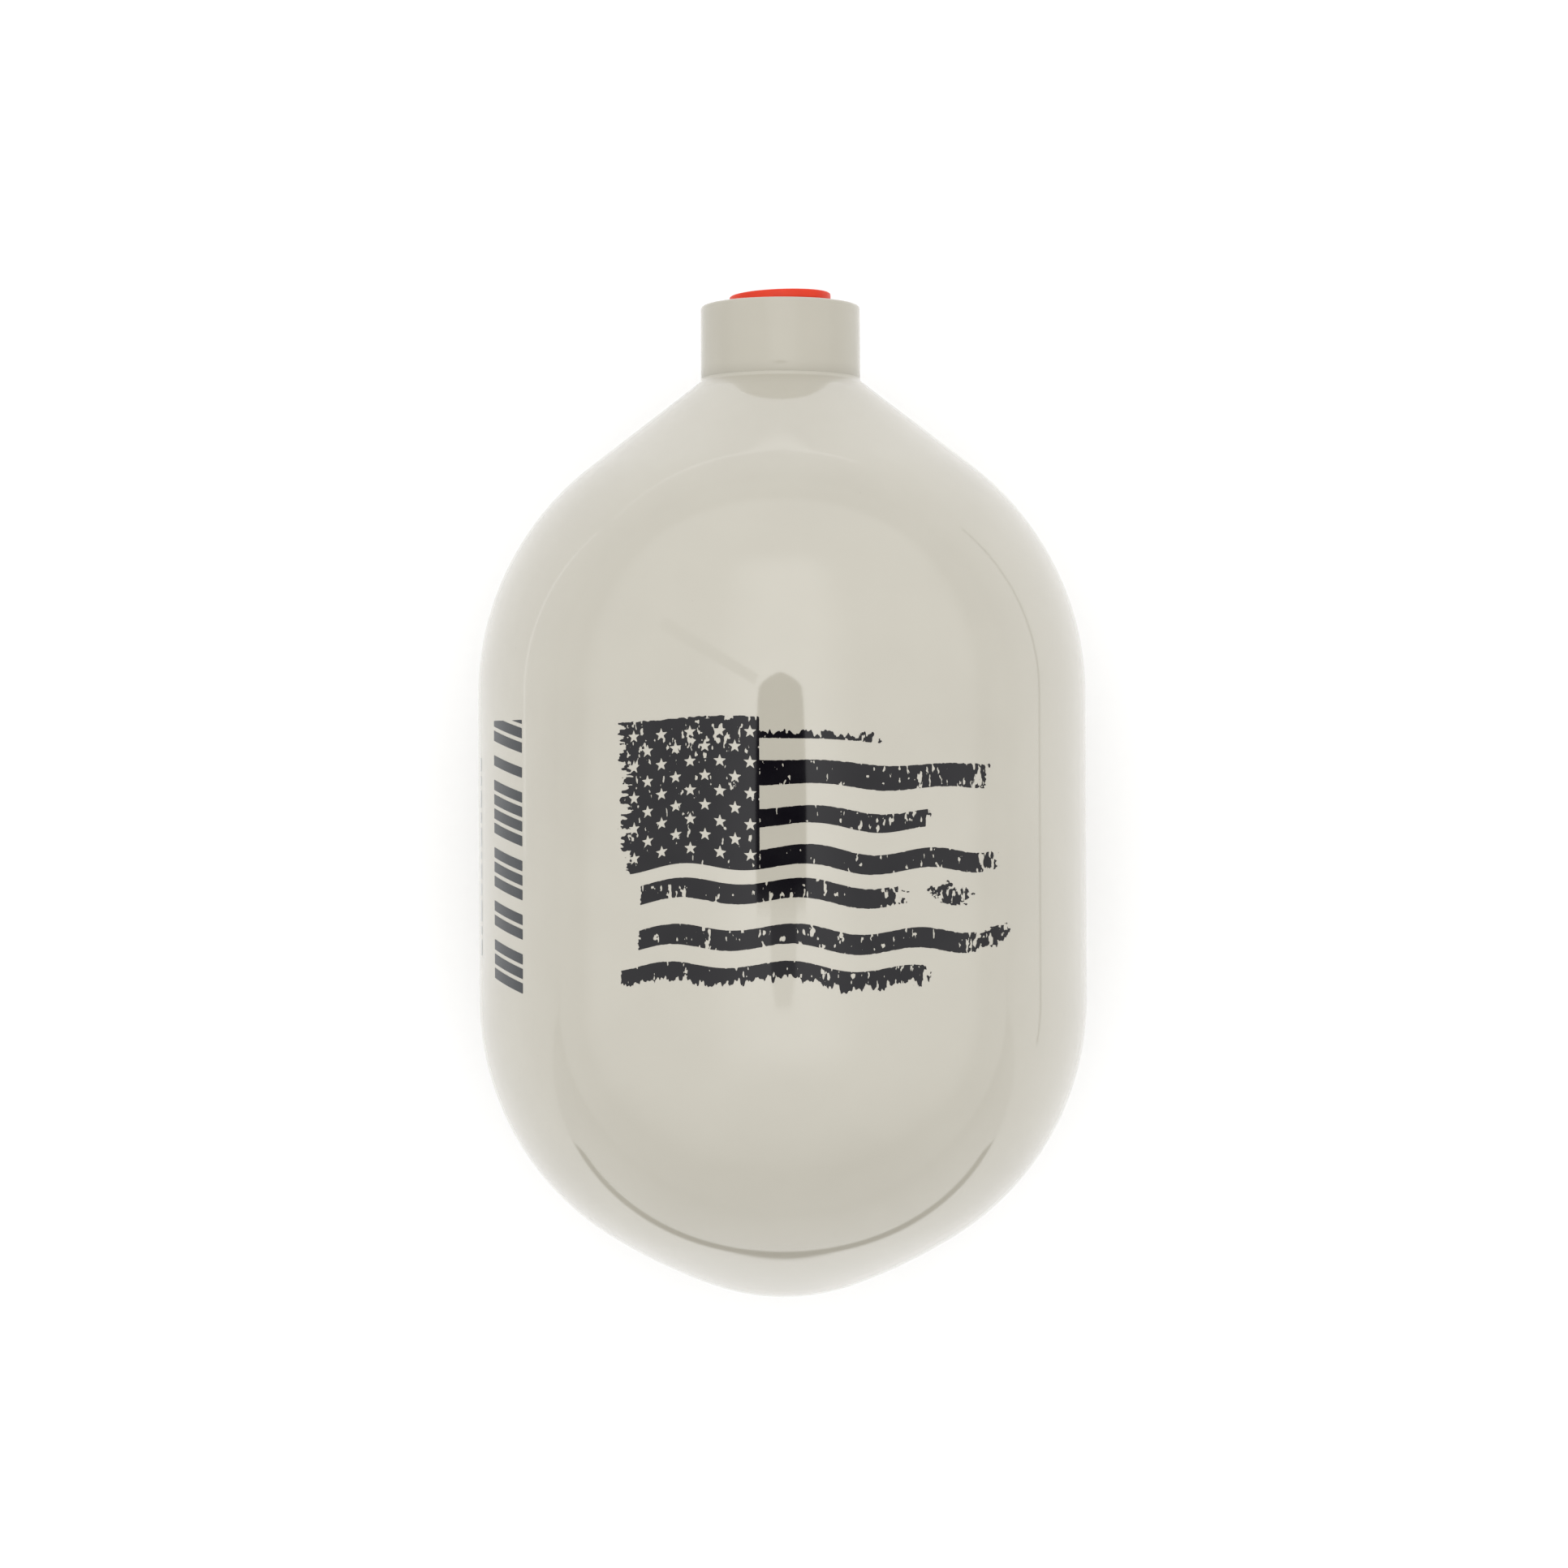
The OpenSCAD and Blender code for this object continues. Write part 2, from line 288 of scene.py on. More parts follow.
def aluminiumFinish(name):
    material, tree, shader, place = newFinish(name, {
        "Base Color": (0.58, 0.59, 0.60, 1), "Metallic": 1.0, "IOR": 1.5})
    # Turning marks run round the bottle's axis, so they change only with the distance from it
    parts = addNode(tree, "ShaderNodeSeparateXYZ")
    tree.links.new(place, parts.inputs[0])
    height = mathOf(tree, "SUBTRACT", parts.outputs["Z"], axisHeight)
    square = mathOf(tree, "ADD", mathOf(tree, "MULTIPLY", parts.outputs["X"], parts.outputs["X"]),
                    mathOf(tree, "MULTIPLY", height, height))
    outward = mathOf(tree, "POWER", square, 0.5)
    line = addNode(tree, "ShaderNodeCombineXYZ")
    tree.links.new(outward, line.inputs["X"])
    tree.links.new(parts.outputs["Y"], line.inputs["Y"])
    marks = noiseOf(tree, line.outputs[0], 1 / (0.12 * mm), 3)
    tree.links.new(rangeOf(tree, marks, 0.3, 0.7, 0.22, 0.38), shader.inputs["Roughness"])
    tree.links.new(bumpOf(tree, marks, 0.004 * mm), shader.inputs["Normal"])
    return material


def carbonFinish(name, crossing):
    material, tree, shader, place = newFinish(name, {
        "Roughness": 0.35, "IOR": 1.5, "Coat Weight": 0.6, "Coat Roughness": 0.12})
    # Tows lie round the axis in a hoop layer, and cross it both ways in a helical one
    tows = noiseOf(tree, stretched(tree, place, (0.06, 1, 0.06)), 1 / (1.2 * mm), 5)
    if crossing:
        tilted = addNode(tree, "ShaderNodeMapping", {"Rotation": (0, 0, radians(68)), "Scale": (1,
                                                                                                0.06, 0.3)})
        tree.links.new(place, tilted.inputs["Vector"])
        tows = mathOf(tree, "MULTIPLY", tows, noiseOf(tree, tilted.outputs["Vector"], 1 / (1.4 * mm), 5))
    tree.links.new(rampOf(tree, tows, [(0.15, (0.006, 0.006, 0.007)), (0.6, (0.05, 0.052, 0.056))]),
                   shader.inputs["Base Color"])
    tree.links.new(bumpOf(tree, tows, 0.05 * mm), shader.inputs["Normal"])
    return material


def glassFibreFinish(name):
    material, tree, shader, place = newFinish(name, {
        "Roughness": 0.3, "IOR": 1.52, "Transmission Weight": 0.15, "Coat Weight": 0.5,
        "Coat Roughness": 0.15})
    fibres = noiseOf(tree, stretched(tree, place, (0.08, 1, 0.08)), 1 / (0.8 * mm), 5)
    tree.links.new(rampOf(tree, fibres, [(0.3, (0.56, 0.58, 0.5)), (0.7, (0.78, 0.8, 0.74))]),
                   shader.inputs["Base Color"])
    tree.links.new(bumpOf(tree, fibres, 0.02 * mm), shader.inputs["Normal"])
    return material


def plugFinish(name):
    material, tree, shader, place = newFinish(name, {
        "Roughness": 0.45, "IOR": 1.45, "Specular IOR Level": 0.2, "Subsurface Weight": 0.1,
        "Subsurface Scale": 0.5 * mm, "Subsurface Radius": (1.0, 0.25, 0.12)})
    flow = noiseOf(tree, place, 1 / (5 * mm), 4)
    tree.links.new(rampOf(tree, flow, [(0.3, (0.57, 0.024, 0.003)), (0.7, (0.64, 0.032, 0.005))]),
                   shader.inputs["Base Color"])
    grain = noiseOf(tree, place, 1 / (0.25 * mm), 2)
    tree.links.new(rangeOf(tree, grain, 0.3, 0.7, 0.36, 0.5), shader.inputs["Roughness"])
    tree.links.new(bumpOf(tree, grain, 0.004 * mm), shader.inputs["Normal"])
    return material


bodyPaint = paintFinish("warmGreyPaint", 0.06, 1.75, True)
neckPaint = paintFinish("warmGreyNeckPaint", 0.16, 1.45, False)
bannerPrint = printFinish("charcoalPrint", (0.0025, 0.002, 0.0035), (0.005, 0.0045, 0.006))
slatePrint = printFinish("slatePrint", (0.013, 0.016, 0.019), (0.022, 0.026, 0.030))
palePrint = printFinish("palePrint", (0.30, 0.31, 0.31), (0.36, 0.37, 0.37))
bareAluminium = aluminiumFinish("turnedAluminium")
redPlastic = plugFinish("redSoftPlastic")

print("Turning the painted outer wrap")
wrapDetail = {"segments": 360, "outlineSteps": 54, "innerSteps": 12}


def paintedWrap():
    root, neck, fillet = shape["neckRootRadius"], shape["neckRadius"], shape["filletRadius"]
    turn = shape["shoulderTurn"]
    filletCentre = (neck + fillet, coneY(neck) + fillet * tan(radians(turn / 2)))
    outside = bottleOutline(0, wrapDetail["outlineSteps"], onArc(filletCentre, fillet, 180 + turn)[0])
    outside += arcPoints(filletCentre, fillet, 180 + turn, 180, 8)[1:]
    inside = bottleOutline(shape["wrapInset"], wrapDetail["innerSteps"], root)
    filletEnd = len(outside)
    piece = turnedMesh("paintedWrap", outside + [(root, filletCentre[1])] + inside[::-1],
                       wrapDetail["segments"], [bodyPaint, neckPaint],
                       lambda band: 1 if filletEnd - 10 <= band <= filletEnd else 0)
    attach(piece, "bottle")
    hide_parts("outer_wrap")
    return filletCentre[1]


collarFootY = paintedWrap()

print("Turning the liner, its collar and its thread")
neckThread = {
    "majorRadius": 15.875 / 2 * mm,
    "minorRadius": 14.4 / 2 * mm,
    "pitch": 25.4 / 18 * mm,
    "mouthRadius": (15.875 / 2 + 0.9) * mm,
    "mouthDepth": 1.4 * mm,
    "ringsPerPitch": 14,
    "segments": 180,
}


def threadRadius(y):
    # A right-hand 60 degree groove: the crests are flat for a quarter of the pitch, the roots for an eighth
    pitch, low, high = neckThread["pitch"], neckThread["minorRadius"], neckThread["majorRadius"]
    top = neckTopY - neckThread["mouthDepth"] * 0.6
    foot = coneY(low, shape["linerInnerInset"]) + 1.2 * mm

    def radius(angle):
        along = ((y - neckTopY) / pitch + angle / (2 * pi)) % 1
        groove = min(1, max(0, (0.375 - abs(along - 0.5)) / 0.3125))
        fade = min(1, max(0, (y - foot) / (pitch * 0.7)))
        chamfer = low
        if y > neckTopY - neckThread["mouthDepth"]:
            share = (y - neckTopY + neckThread["mouthDepth"]) / neckThread["mouthDepth"]
            chamfer = low + (neckThread["mouthRadius"] - low) * share
        return max(chamfer, low + (high - low) * groove * (fade if y < top else 1))
    return radius


def liner():
    root, neck, edge = shape["neckRootRadius"], shape["neckRadius"], shape["neckEdge"]
    outside = bottleOutline(shape["linerOuterInset"], 20, root)
    rings = outside + [(root, collarFootY), (neck - 0.02 * mm, collarFootY), (neck, collarFootY + 0.02 * mm)]
    paintStart = len(outside)
    rings += [(neck, collarFootY + (neckTopY - edge - collarFootY) * i / 6) for i in range(1, 6)]
    rings += arcPoints((neck - edge, neckTopY - edge), edge, 0, 90, 8)
    paintEnd = len(rings) - 2
    faceEnd = neckThread["mouthRadius"]
    rings += [(neck - edge + (faceEnd - neck + edge) * i / 4, neckTopY) for i in range(1, 5)]
    step = neckThread["pitch"] / neckThread["ringsPerPitch"]
    boreFootY = coneY(neckThread["minorRadius"], shape["linerInnerInset"])
    y = neckTopY - step
    while y > boreFootY + step / 2:
        rings.append((threadRadius(y), y))
        y -= step
    inside = bottleOutline(shape["linerInnerInset"], 16, neckThread["minorRadius"])
    rings += inside[::-1]
    piece = turnedMesh("turnedLiner", rings, neckThread["segments"], [bareAluminium, neckPaint],
                       lambda band: 1 if paintStart <= band <= paintEnd else 0)
    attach(piece, "bottle")
    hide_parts("liner")


liner()

print("Moulding the plug")
plugShape = {
    "flangeRadius": 9.7 * mm,
    "flangeThickness": 1.75 * mm,
    "edge": 0.4 * mm,
    "bodyTop": 7.0 * mm,
    "bodyFoot": 6.2 * mm,
    "depth": 13 * mm,
    "wall": 1.2 * mm,
    "lean": 2.0,
    "standoff": 0.45 * mm,
    "ribs": 4,
    "ribHalf": 0.35 * mm,
    "segments": 128,
}


def plug():
    p = plugShape
    e, wall, depth, thick = p["edge"], p["wall"], p["depth"], p["flangeThickness"]
    # Up the outside from the foot, over the flange and down into the cup, as (radius, height over the neck)
    points = [(0, -depth), (p["bodyFoot"] - e, -depth)]
    points += arcPoints((p["bodyFoot"] - e, -depth + e), e, -90, 0, 5)[1:]
    for i in range(1, 40):
        share = i / 40
        ring = 0.08 * mm * max(0, cos(share * pi * 8)) ** 6 if share < 0.8 else 0
        radius = p["bodyFoot"] + (p["bodyTop"] - p["bodyFoot"]) * share
        points.append((radius + ring, -depth + e + (depth - e) * share))
    points += arcPoints((p["bodyTop"] + 0.3 * mm, -0.3 * mm), 0.3 * mm, 180, 90, 4)
    points += arcPoints((p["flangeRadius"] - e, e), e, -90, 0, 6)
    points += arcPoints((p["flangeRadius"] - e, thick - e), e, 0, 90, 6)
    cup = p["bodyTop"] - wall
    points += [(cup + 1.4 * mm, thick), (cup + 1.2 * mm, thick - 0.12 * mm), (cup + 0.9 * mm,
                                                                              thick - 0.12 * mm),
               (cup + 0.7 * mm, thick)]
    points += arcPoints((cup + e, thick - e), e, 90, 180, 6)
    foot = p["bodyFoot"] - wall
    for i in range(1, 12):
        points.append((cup + (foot - cup) * i / 12, thick - e + (wall - depth - thick + 2 * e) * i / 12))
    points += arcPoints((foot - e, wall - depth + e), e, 0, -90, 5)
    points += [(1.1 * mm, wall - depth), (0.9 * mm, wall - depth + 0.3 * mm), (0, wall - depth + 0.35 * mm)]
    piece = turnedMesh("neckPlug", points, p["segments"], [redPlastic])
    cupMesh = piece.data
    verts = [v.co.copy() for v in cupMesh.vertices]
    faces = [tuple(f.vertices) for f in cupMesh.polygons]
    smooth = [True] * len(faces)
    # Thin ribs stiffen the cup, from its floor to a little below the flange
    floorY = wall - depth - 0.2 * mm
    profile = ((foot + 0.3 * mm, floorY), (cup + 0.3 * mm, -1.5 * mm), (cup - 0.9 * mm, -2.2 * mm),
               (foot - 1.6 * mm, floorY))
    for rib in range(p["ribs"]):
        angle = pi / 4 + rib * 2 * pi / p["ribs"]
        across = Vector((cos(angle), 0, -sin(angle)))
        out = Vector((sin(angle), 0, cos(angle)))
        first = len(verts)
        for side in (-p["ribHalf"], p["ribHalf"]):
            verts += [out * radius + across * side + Vector((0, y, axisHeight)) for radius, y in profile]
        faces += [(first, first + 1, first + 2, first + 3), (first + 7, first + 6, first + 5, first + 4)]
        sides = ((0, 1), (1, 2), (2, 3), (3, 0))
        faces += [(first + a, first + 4 + a, first + 4 + b, first + b) for a, b in sides]
        smooth += [False] * 6
    mesh = bpy.data.meshes.new("neckPlug")
    mesh.from_pydata(verts, [], faces)
    mesh.materials.append(redPlastic)
    mesh.polygons.foreach_set("use_smooth", smooth)
    mesh.transform(Matrix.Translation((0, neckTopY + p["standoff"], axisHeight))
                   @ Matrix.Rotation(radians(p["lean"]), 4, "Z")
                   @ Matrix.Translation((0, 0, -axisHeight)))
    mesh.update()
    piece.data = mesh
    bpy.data.meshes.remove(cupMesh)
    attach(piece, "plug")
    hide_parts("thread_plug")


plug()

print("Printing the decals")
printSheet = {
    "lift": 0.03 * mm,
    "cell": 0.12,  # grid of the printed sheets, in mm
    "strip": 1.2,  # widest flat patch round the barrel, in mm
    "middleY": 1.96 * mm,  # the prints' height 0
}


def valueNoise(seed, s, h, cellS, cellH):
    # Smooth random values on a grid of cells cellS by cellH mm
    random = np.random.RandomState(seed)
    u, v = (s - s.min()) / cellS, (h - h.min()) / cellH
    table = random.rand(int(v.max()) + 3, int(u.max()) + 3)
    i, j = u.astype(int), v.astype(int)
    a, b = u - i, v - j
    a, b = a * a * (3 - 2 * a), b * b * (3 - 2 * b)
    top = table[j, i] * (1 - a) + table[j, i + 1] * a
    low = table[j + 1, i] * (1 - a) + table[j + 1, i + 1] * a
    return top * (1 - b) + low * b


def layeredNoise(seed, s, h, cellS, cellH, layers):
    total, weight = 0, 0
    for layer in range(layers):
        share = 0.55 ** layer
        total = total + share * valueNoise(seed + layer, s, h, cellS / 2 ** layer, cellH / 2 ** layer)
        weight += share
    return total / weight


def barrelPoint(s, h):
    angle = s * mm / barrelRadius
    out = barrelRadius + printSheet["lift"]
    return (out * sin(angle), printSheet["middleY"] + h * mm, axisHeight + out * cos(angle))


def printedSheet(name, left, right, low, high, inkAt, finish, node):
    # Prints ink wherever inkAt(s, h) is above 0: s is mm round the barrel from its top line, h is mm along it
    cell = printSheet["cell"]
    columns, rows = int((right - left) / cell) + 1, int((high - low) / cell) + 1
    s, h = np.meshgrid(left + cell * np.arange(columns), low + cell * np.arange(rows))
    ink = inkAt(s, h)
    ink[0, :] = ink[-1, :] = ink[:, 0] = ink[:, -1] = -1
    inside = ink > 0
    vertices, index, faces = [], {}, []

    def corner(i, j):
        return vertex((i, j), left + cell * i, low + cell * j)

    def vertex(key, sAt, hAt):
        if key not in index:
            index[key] = len(vertices)
            vertices.append((sAt, hAt))
        return index[key]

    def crossing(i0, j0, i1, j1):
        a, b = ink[j0, i0], ink[j1, i1]
        share = min(0.98, max(0.02, a / (a - b)))
        key = (i0, j0, i1, j1) if (i0, j0) < (i1, j1) else (i1, j1, i0, j0)
        return vertex(key, left + cell * (i0 + (i1 - i0) * share), low + cell * (j0 + (j1 - j0) * share))

    count = (inside[:-1, :-1].astype(int) + inside[:-1, 1:] + inside[1:, :-1] + inside[1:, 1:])
    stripCells = max(1, int(printSheet["strip"] / cell))
    for j in range(rows - 1):
        i = 0
        row = count[j]
        while i < columns - 1:
            if row[i] == 4:
                end = i
                while end < columns - 1 and row[end] == 4 and end // stripCells == i // stripCells:
                    end += 1
                faces.append((corner(i, j), corner(end, j), corner(end, j + 1), corner(i, j + 1)))
                i = end
                continue
            if row[i] > 0:
                loop = ((i, j), (i + 1, j), (i + 1, j + 1), (i, j + 1))
                outline = []
                for k in range(4):
                    (i0, j0), (i1, j1) = loop[k], loop[(k + 1) % 4]
                    if inside[j0, i0]:
                        outline.append(corner(i0, j0))
                    if inside[j0, i0] != inside[j1, i1]:
                        outline.append(crossing(i0, j0, i1, j1))
                faces.append(tuple(outline))
            i += 1
    mesh = bpy.data.meshes.new(name)
    mesh.from_pydata([barrelPoint(sAt, hAt) for sAt, hAt in vertices], [], faces)
    mesh.materials.append(finish)
    mesh.polygons.foreach_set("use_smooth", [True] * len(faces))
    angles = [sAt * mm / barrelRadius for sAt, _ in vertices]
    mesh.normals_split_custom_set_from_vertices([(sin(a), 0, cos(a)) for a in angles])
    mesh.update()
    piece = bpy.data.objects.new(name, mesh)
    bpy.context.scene.collection.objects.link(piece)
    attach(piece, "bottle")
    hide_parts(node)
    print(name, len(vertices), "points", len(faces), "faces")
    return piece


banner = {
    "fieldLeft": -28.9, "fieldRight": -4.0, "fieldTop": 11.4, "fieldFoot": -15.0,
    "waveHeight": 0.75, "waveLength": 22.5,
    "starColumns": 9, "starRows": 5, "starRadius": 1.25, "starNotch": 0.4,
    # Top, foot, left and right of each dark stripe. The first is worn down to its lower edge.
    "stripes": [(9.0, 7.7, -4, 18.6), (3.9, -0.4, -4, 40), (-4.4, -7.6, -4, 28), (-11.5, -15.0, -4, 42),
                (-17.5, -21.0, -26, 22), (-25.6, -29.2, -26.5, 38.5), (-32.2, -35.2, -30, 27)],
    # Worn patches: middle, half width and half height, and how worn
    "patches": [(-12, 8.5, 6, 3, 0.9), (-10, 0, 4, 3, 0.35), (24, 2, 6, 3, 1.0), (18, -6, 7, 3, 0.7),
                (-20, -19, 5, 3, 0.9), (0, -19, 9, 3, 0.55), (6, -27, 16, 3, 0.75), (-13, -27, 3, 4, 0.9),
                (14, -34, 14, 3, 0.6), (30, -13, 9, 3, 0.45), (-27, 6, 3, 6, 0.7), (38, -19, 12, 3, 0.2)],
    "seed": 41,
}


def bannerWave(s, h):
    # The cloth waves more the lower it is, and sinks a little to the right
    phase = 2 * pi * (s + 3.5) / banner["waveLength"]
    swell = np.clip((banner["fieldTop"] - h) / 22, 0.2, 1)
    drift = 0.6 * np.sin(2 * pi * (s + 20) / 66 + 0.4)
    return banner["waveHeight"] * swell * np.sin(phase - 1.4 - 0.05 * h) + drift


def starShape(s, h, radius):
    angle = np.abs((np.arctan2(s, h) + pi / 5) % (2 * pi / 5) - pi / 5)
    reach = np.hypot(s, h)
    notch = radius * banner["starNotch"]
    tip, dent = np.array([0, radius]), np.array([notch * sin(pi / 5), notch * cos(pi / 5)])
    edge = dent - tip
    length = np.hypot(*edge)
    x, y = reach * np.sin(angle), reach * np.cos(angle)
    return ((y - tip[1]) * edge[0] - (x - tip[0]) * edge[1]) / length


def bannerInk(s, h):
    b = banner
    flat = h - bannerWave(s, h)
    fine = layeredNoise(b["seed"] + 10, s, h, 0.6, 1.3, 3)
    nibble = layeredNoise(b["seed"] + 20, s, h, 0.8, 0.6, 3) - 0.5
    teeth = layeredNoise(b["seed"] + 30, s, h, 0.75, 3.0, 3) - 0.5
    spikes = layeredNoise(b["seed"] + 40, s, h, 2.2, 0.6, 3) - 0.5
    ink = np.full(s.shape, -1.0)
    for row, (top, foot, left, right) in enumerate(b["stripes"]):
        tail = np.clip((s - right + 13) / 13, 0, 1)
        edge = np.minimum(0, nibble) * (0.3 + 1.2 * tail ** 2)
        upper = top - flat + edge + (2.8 * (teeth - 0.03) if row == 0 else 0)
        lower = flat - foot + edge + (3.6 * teeth if row == 6 else 0)
        ends = np.minimum(s - left + 0.8 * nibble, right - s + 3.5 * spikes)
        # The right-hand end breaks up into flakes
        flakes = 1.06 - 0.62 * tail ** 1.2 - fine
        stripe = np.minimum(np.minimum(upper, lower), ends)
        ink = np.maximum(ink, np.where(tail > 0, np.minimum(stripe, flakes * 1.5), stripe))
        if row in (4, 5):
            # A torn-off flake beyond the end
            beyond = 9.5 if row == 4 else 2.5
            reach = np.hypot((s - right - beyond) / 2.6, flat - (top + foot) / 2)
            island = 1.5 - reach + 2.4 * nibble
            ink = np.maximum(ink, np.minimum(island, (0.62 - fine) * 1.5))
    # The star field's left edge is torn into spikes
    field = np.minimum(np.minimum(s - b["fieldLeft"] + 6.5 * spikes + 2.0 * nibble, b["fieldRight"] - s),
                       np.minimum(b["fieldTop"] - flat + 0.4 * nibble, flat - b["fieldFoot"]))
    ink = np.maximum(ink, field)
    step = (b["fieldRight"] - b["fieldLeft"]) / (b["starColumns"] + 0.2)
    drop = (b["fieldTop"] - b["fieldFoot"]) / b["starRows"]
    for column in range(b["starColumns"]):
        odd = column % 2
        for line in range(b["starRows"] - odd):
            starS = b["fieldLeft"] + step * (column + 0.6)
            starH = b["fieldTop"] - drop * (line + 0.5 + 0.5 * odd)
            near = (np.abs(s - starS) < 2) & (np.abs(flat - starH) < 2)
            ink[near] = np.minimum(ink[near], starShape(s[near] - starS, flat[near] - starH, b["starRadius"]))
    # Chips and slits come in patches, and a scrape runs across the field's top right corner
    worn = 0.9 * np.exp(-((s - 1.6 * h + 28) / 1.6) ** 2) * (h > 5)
    for patchS, patchH, width, height, weight in b["patches"]:
        worn = np.maximum(worn, weight * np.exp(-((s - patchS) / width) ** 2 - ((h - patchH) / height) ** 2))
    chips = 0.775 - 0.185 * worn - fine
    return np.minimum(ink, chips * 1.6)


printedSheet("weatheredBanner", -34, 46, -39, 15, bannerInk, bannerPrint, "banner_decal")

sideMark = {
    "middle": -61.7, "width": 12.2, "low": -38.1, "slant": 2.4,
    # How many thin bars each block has, one block after another along the barrel
    "blocks": [3, 2, 3, 4, 1, 3], "bar": 1.9, "barGap": 0.75, "blockGap": 1.9,
}


def sideMarkInk(s, h):
    m = sideMark
    across = (s - m["middle"]) / m["width"] + 0.5
    lean = h - m["low"] - m["slant"] * (1 - across)
    ends = np.minimum(across, 1 - across) * m["width"]
    ink = np.full(s.shape, -1.0)
    start = 0
    for bars in m["blocks"]:
        for _ in range(bars):
            ink = np.maximum(ink, np.minimum(np.minimum(lean - start, start + m["bar"] - lean), ends))
            start += m["bar"] + m["barGap"]
        start += m["blockGap"]
    return ink


printedSheet("sideMark", -69, -54.5, -39, 12, sideMarkInk, slatePrint, "side_mark_decal")

finePrint = {
    "middle": -78.6, "height": 1.5, "low": -32.0, "gap": 0.9,
    "dashes": [3, 1.6, 4, 2.2, 2.8, 1.4, 3.6, 2, 3.2, 1.8, 2.6],
}


def finePrintInk(s, h):
    f = finePrint
    ends = f["height"] / 2 - np.abs(s - f["middle"])
    ink = np.full(s.shape, -1.0)
    start = f["low"]
    for width in f["dashes"]:
        ink = np.maximum(ink, np.minimum(np.minimum(h - start, start + width - h), ends))
        start += width + f["gap"]
    return ink


printedSheet("finePrint", -80.5, -76.5, -34, 8, finePrintInk, palePrint, "fine_print_decal")

print("Finishing the wound layers inside")
layerFinishes = {
    "barrier_wrap": glassFibreFinish("barrierGlassFibre"),
    "inner_helical_wrap": carbonFinish("innerHelicalCarbon", True),
    "inner_hoop_wrap": carbonFinish("innerHoopCarbon", False),
    "outer_helical_wrap": carbonFinish("outerHelicalCarbon", True),
    "outer_hoop_wrap": carbonFinish("outerHoopCarbon", False),
}
for node, finish in layerFinishes.items():
    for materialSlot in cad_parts[node].material_slots:
        materialSlot.material = finish

print("Setting the stage")
studio = {
    "floorSize": 8.0,
    "floorColour": (0.92, 0.92, 0.92),
    "horizon": 1.42,
    "zenith": 1.10,
    "lowSideShare": 0.80,  # of that light, from beyond the bottle's round end
    "panelWidth": 0.9,
    "panelLength": 1.2,
    "panelCentre": (0, 0.05, 1.15),
    "panelRadiance": 1.15,
}

# What the gloss reflects: x from and to, y from and to, height, radiance, and the soft edge's width
reflections = {
    "softGlow": ((-9.0, 9.0), (-5.0, 12.0), 1.60, 1.72, 4.9),
    "panelGlow": ((-0.70, 0.73), (-0.80, 1.82), 1.25, 2.22, 0.55),
}

# Painted reflections of the sheet's edges, seen only in the gloss: painted shade for the dark low and right
# lines, painted highlight for the bright left and high ones. x from and to, y from and to, radiance, and the
# soft edge's width
sheetEdgeReflections = {
    "edgeLowShade": ((-0.24, 0.24), (-0.244, -0.208), 0.0, 0.010),
    "edgeRightShade": ((0.263, 0.284), (-0.10, 0.29), 0.5, 0.008),
    "edgeLeftHighlight": ((-0.284, -0.263), (-0.02, 0.29), 2.1, 0.008),
    "edgeHighHighlight": ((-0.284, 0.10), (0.307, 0.335), 1.9, 0.010),
}


def flatPiece(name, corners, height, finish, reflectedOnly=False):
    mesh = bpy.data.meshes.new(name)
    mesh.from_pydata([(x, y, height) for x, y in corners], [], [tuple(range(len(corners)))])
    mesh.materials.append(finish)
    piece = bpy.data.objects.new(name, mesh)
    bpy.context.scene.collection.objects.link(piece)
    if reflectedOnly:
        piece.visible_camera = piece.visible_diffuse = piece.visible_shadow = False
        piece.visible_transmission = piece.visible_volume_scatter = False
    return piece


def rectangle(spanX, spanY):
    return [(spanX[0], spanY[0]), (spanX[1], spanY[0]), (spanX[1], spanY[1]), (spanX[0], spanY[1])]


def glowFinish(name, strength, spans=None, soft=0.0, cover=1.0):
    # Plain light, which fades out over the soft width at the edges of its spans
    material = bpy.data.materials.new(name)
    material.use_nodes = True
    tree = material.node_tree
    tree.nodes.clear()
    out = addNode(tree, "ShaderNodeOutputMaterial")
    glow = addNode(tree, "ShaderNodeEmission", {"Strength": strength})
    clear = addNode(tree, "ShaderNodeBsdfTransparent")
    mix = addNode(tree, "ShaderNodeMixShader", {"Fac": cover})
    tree.links.new(clear.outputs[0], mix.inputs[1])
    tree.links.new(glow.outputs[0], mix.inputs[2])
    tree.links.new(mix.outputs[0], out.inputs["Surface"])
    if spans:
        coords = addNode(tree, "ShaderNodeTexCoord")
        parts = addNode(tree, "ShaderNodeSeparateXYZ")
        tree.links.new(coords.outputs["Object"], parts.inputs[0])
        mask = cover
        for axis, (low, high) in zip("XY", spans):
            place = parts.outputs[axis]
            for edge, inner in ((low, low + soft), (high, high - soft)):
                fade = rangeOf(tree, place, edge, inner)
                fade.node.interpolation_type = "SMOOTHSTEP"
                mask = mathOf(tree, "MULTIPLY", fade, mask)
        tree.links.new(mask, mix.inputs["Fac"])
    return material


def sheetFinish():
    # The sheet's extra glow, which fades out towards the bottle
    finish = glowFinish("brightSheet", 1.75)
    tree = finish.node_tree
    coords = addNode(tree, "ShaderNodeTexCoord")
    parts = addNode(tree, "ShaderNodeSeparateXYZ")
    tree.links.new(coords.outputs["Object"], parts.inputs[0])
    aside = rangeOf(tree, mathOf(tree, "ABSOLUTE", parts.outputs["X"], 0), 0.075, 0.20, 0, 0.42)
    along = rangeOf(tree, mathOf(tree, "ABSOLUTE", parts.outputs["Y"], 0), 0.105, 0.20, 0, 0.42)
    share = mathOf(tree, "MAXIMUM", aside, along)
    mix = next(node for node in tree.nodes if node.type == "MIX_SHADER")
    tree.links.new(share, mix.inputs["Fac"])
    return finish


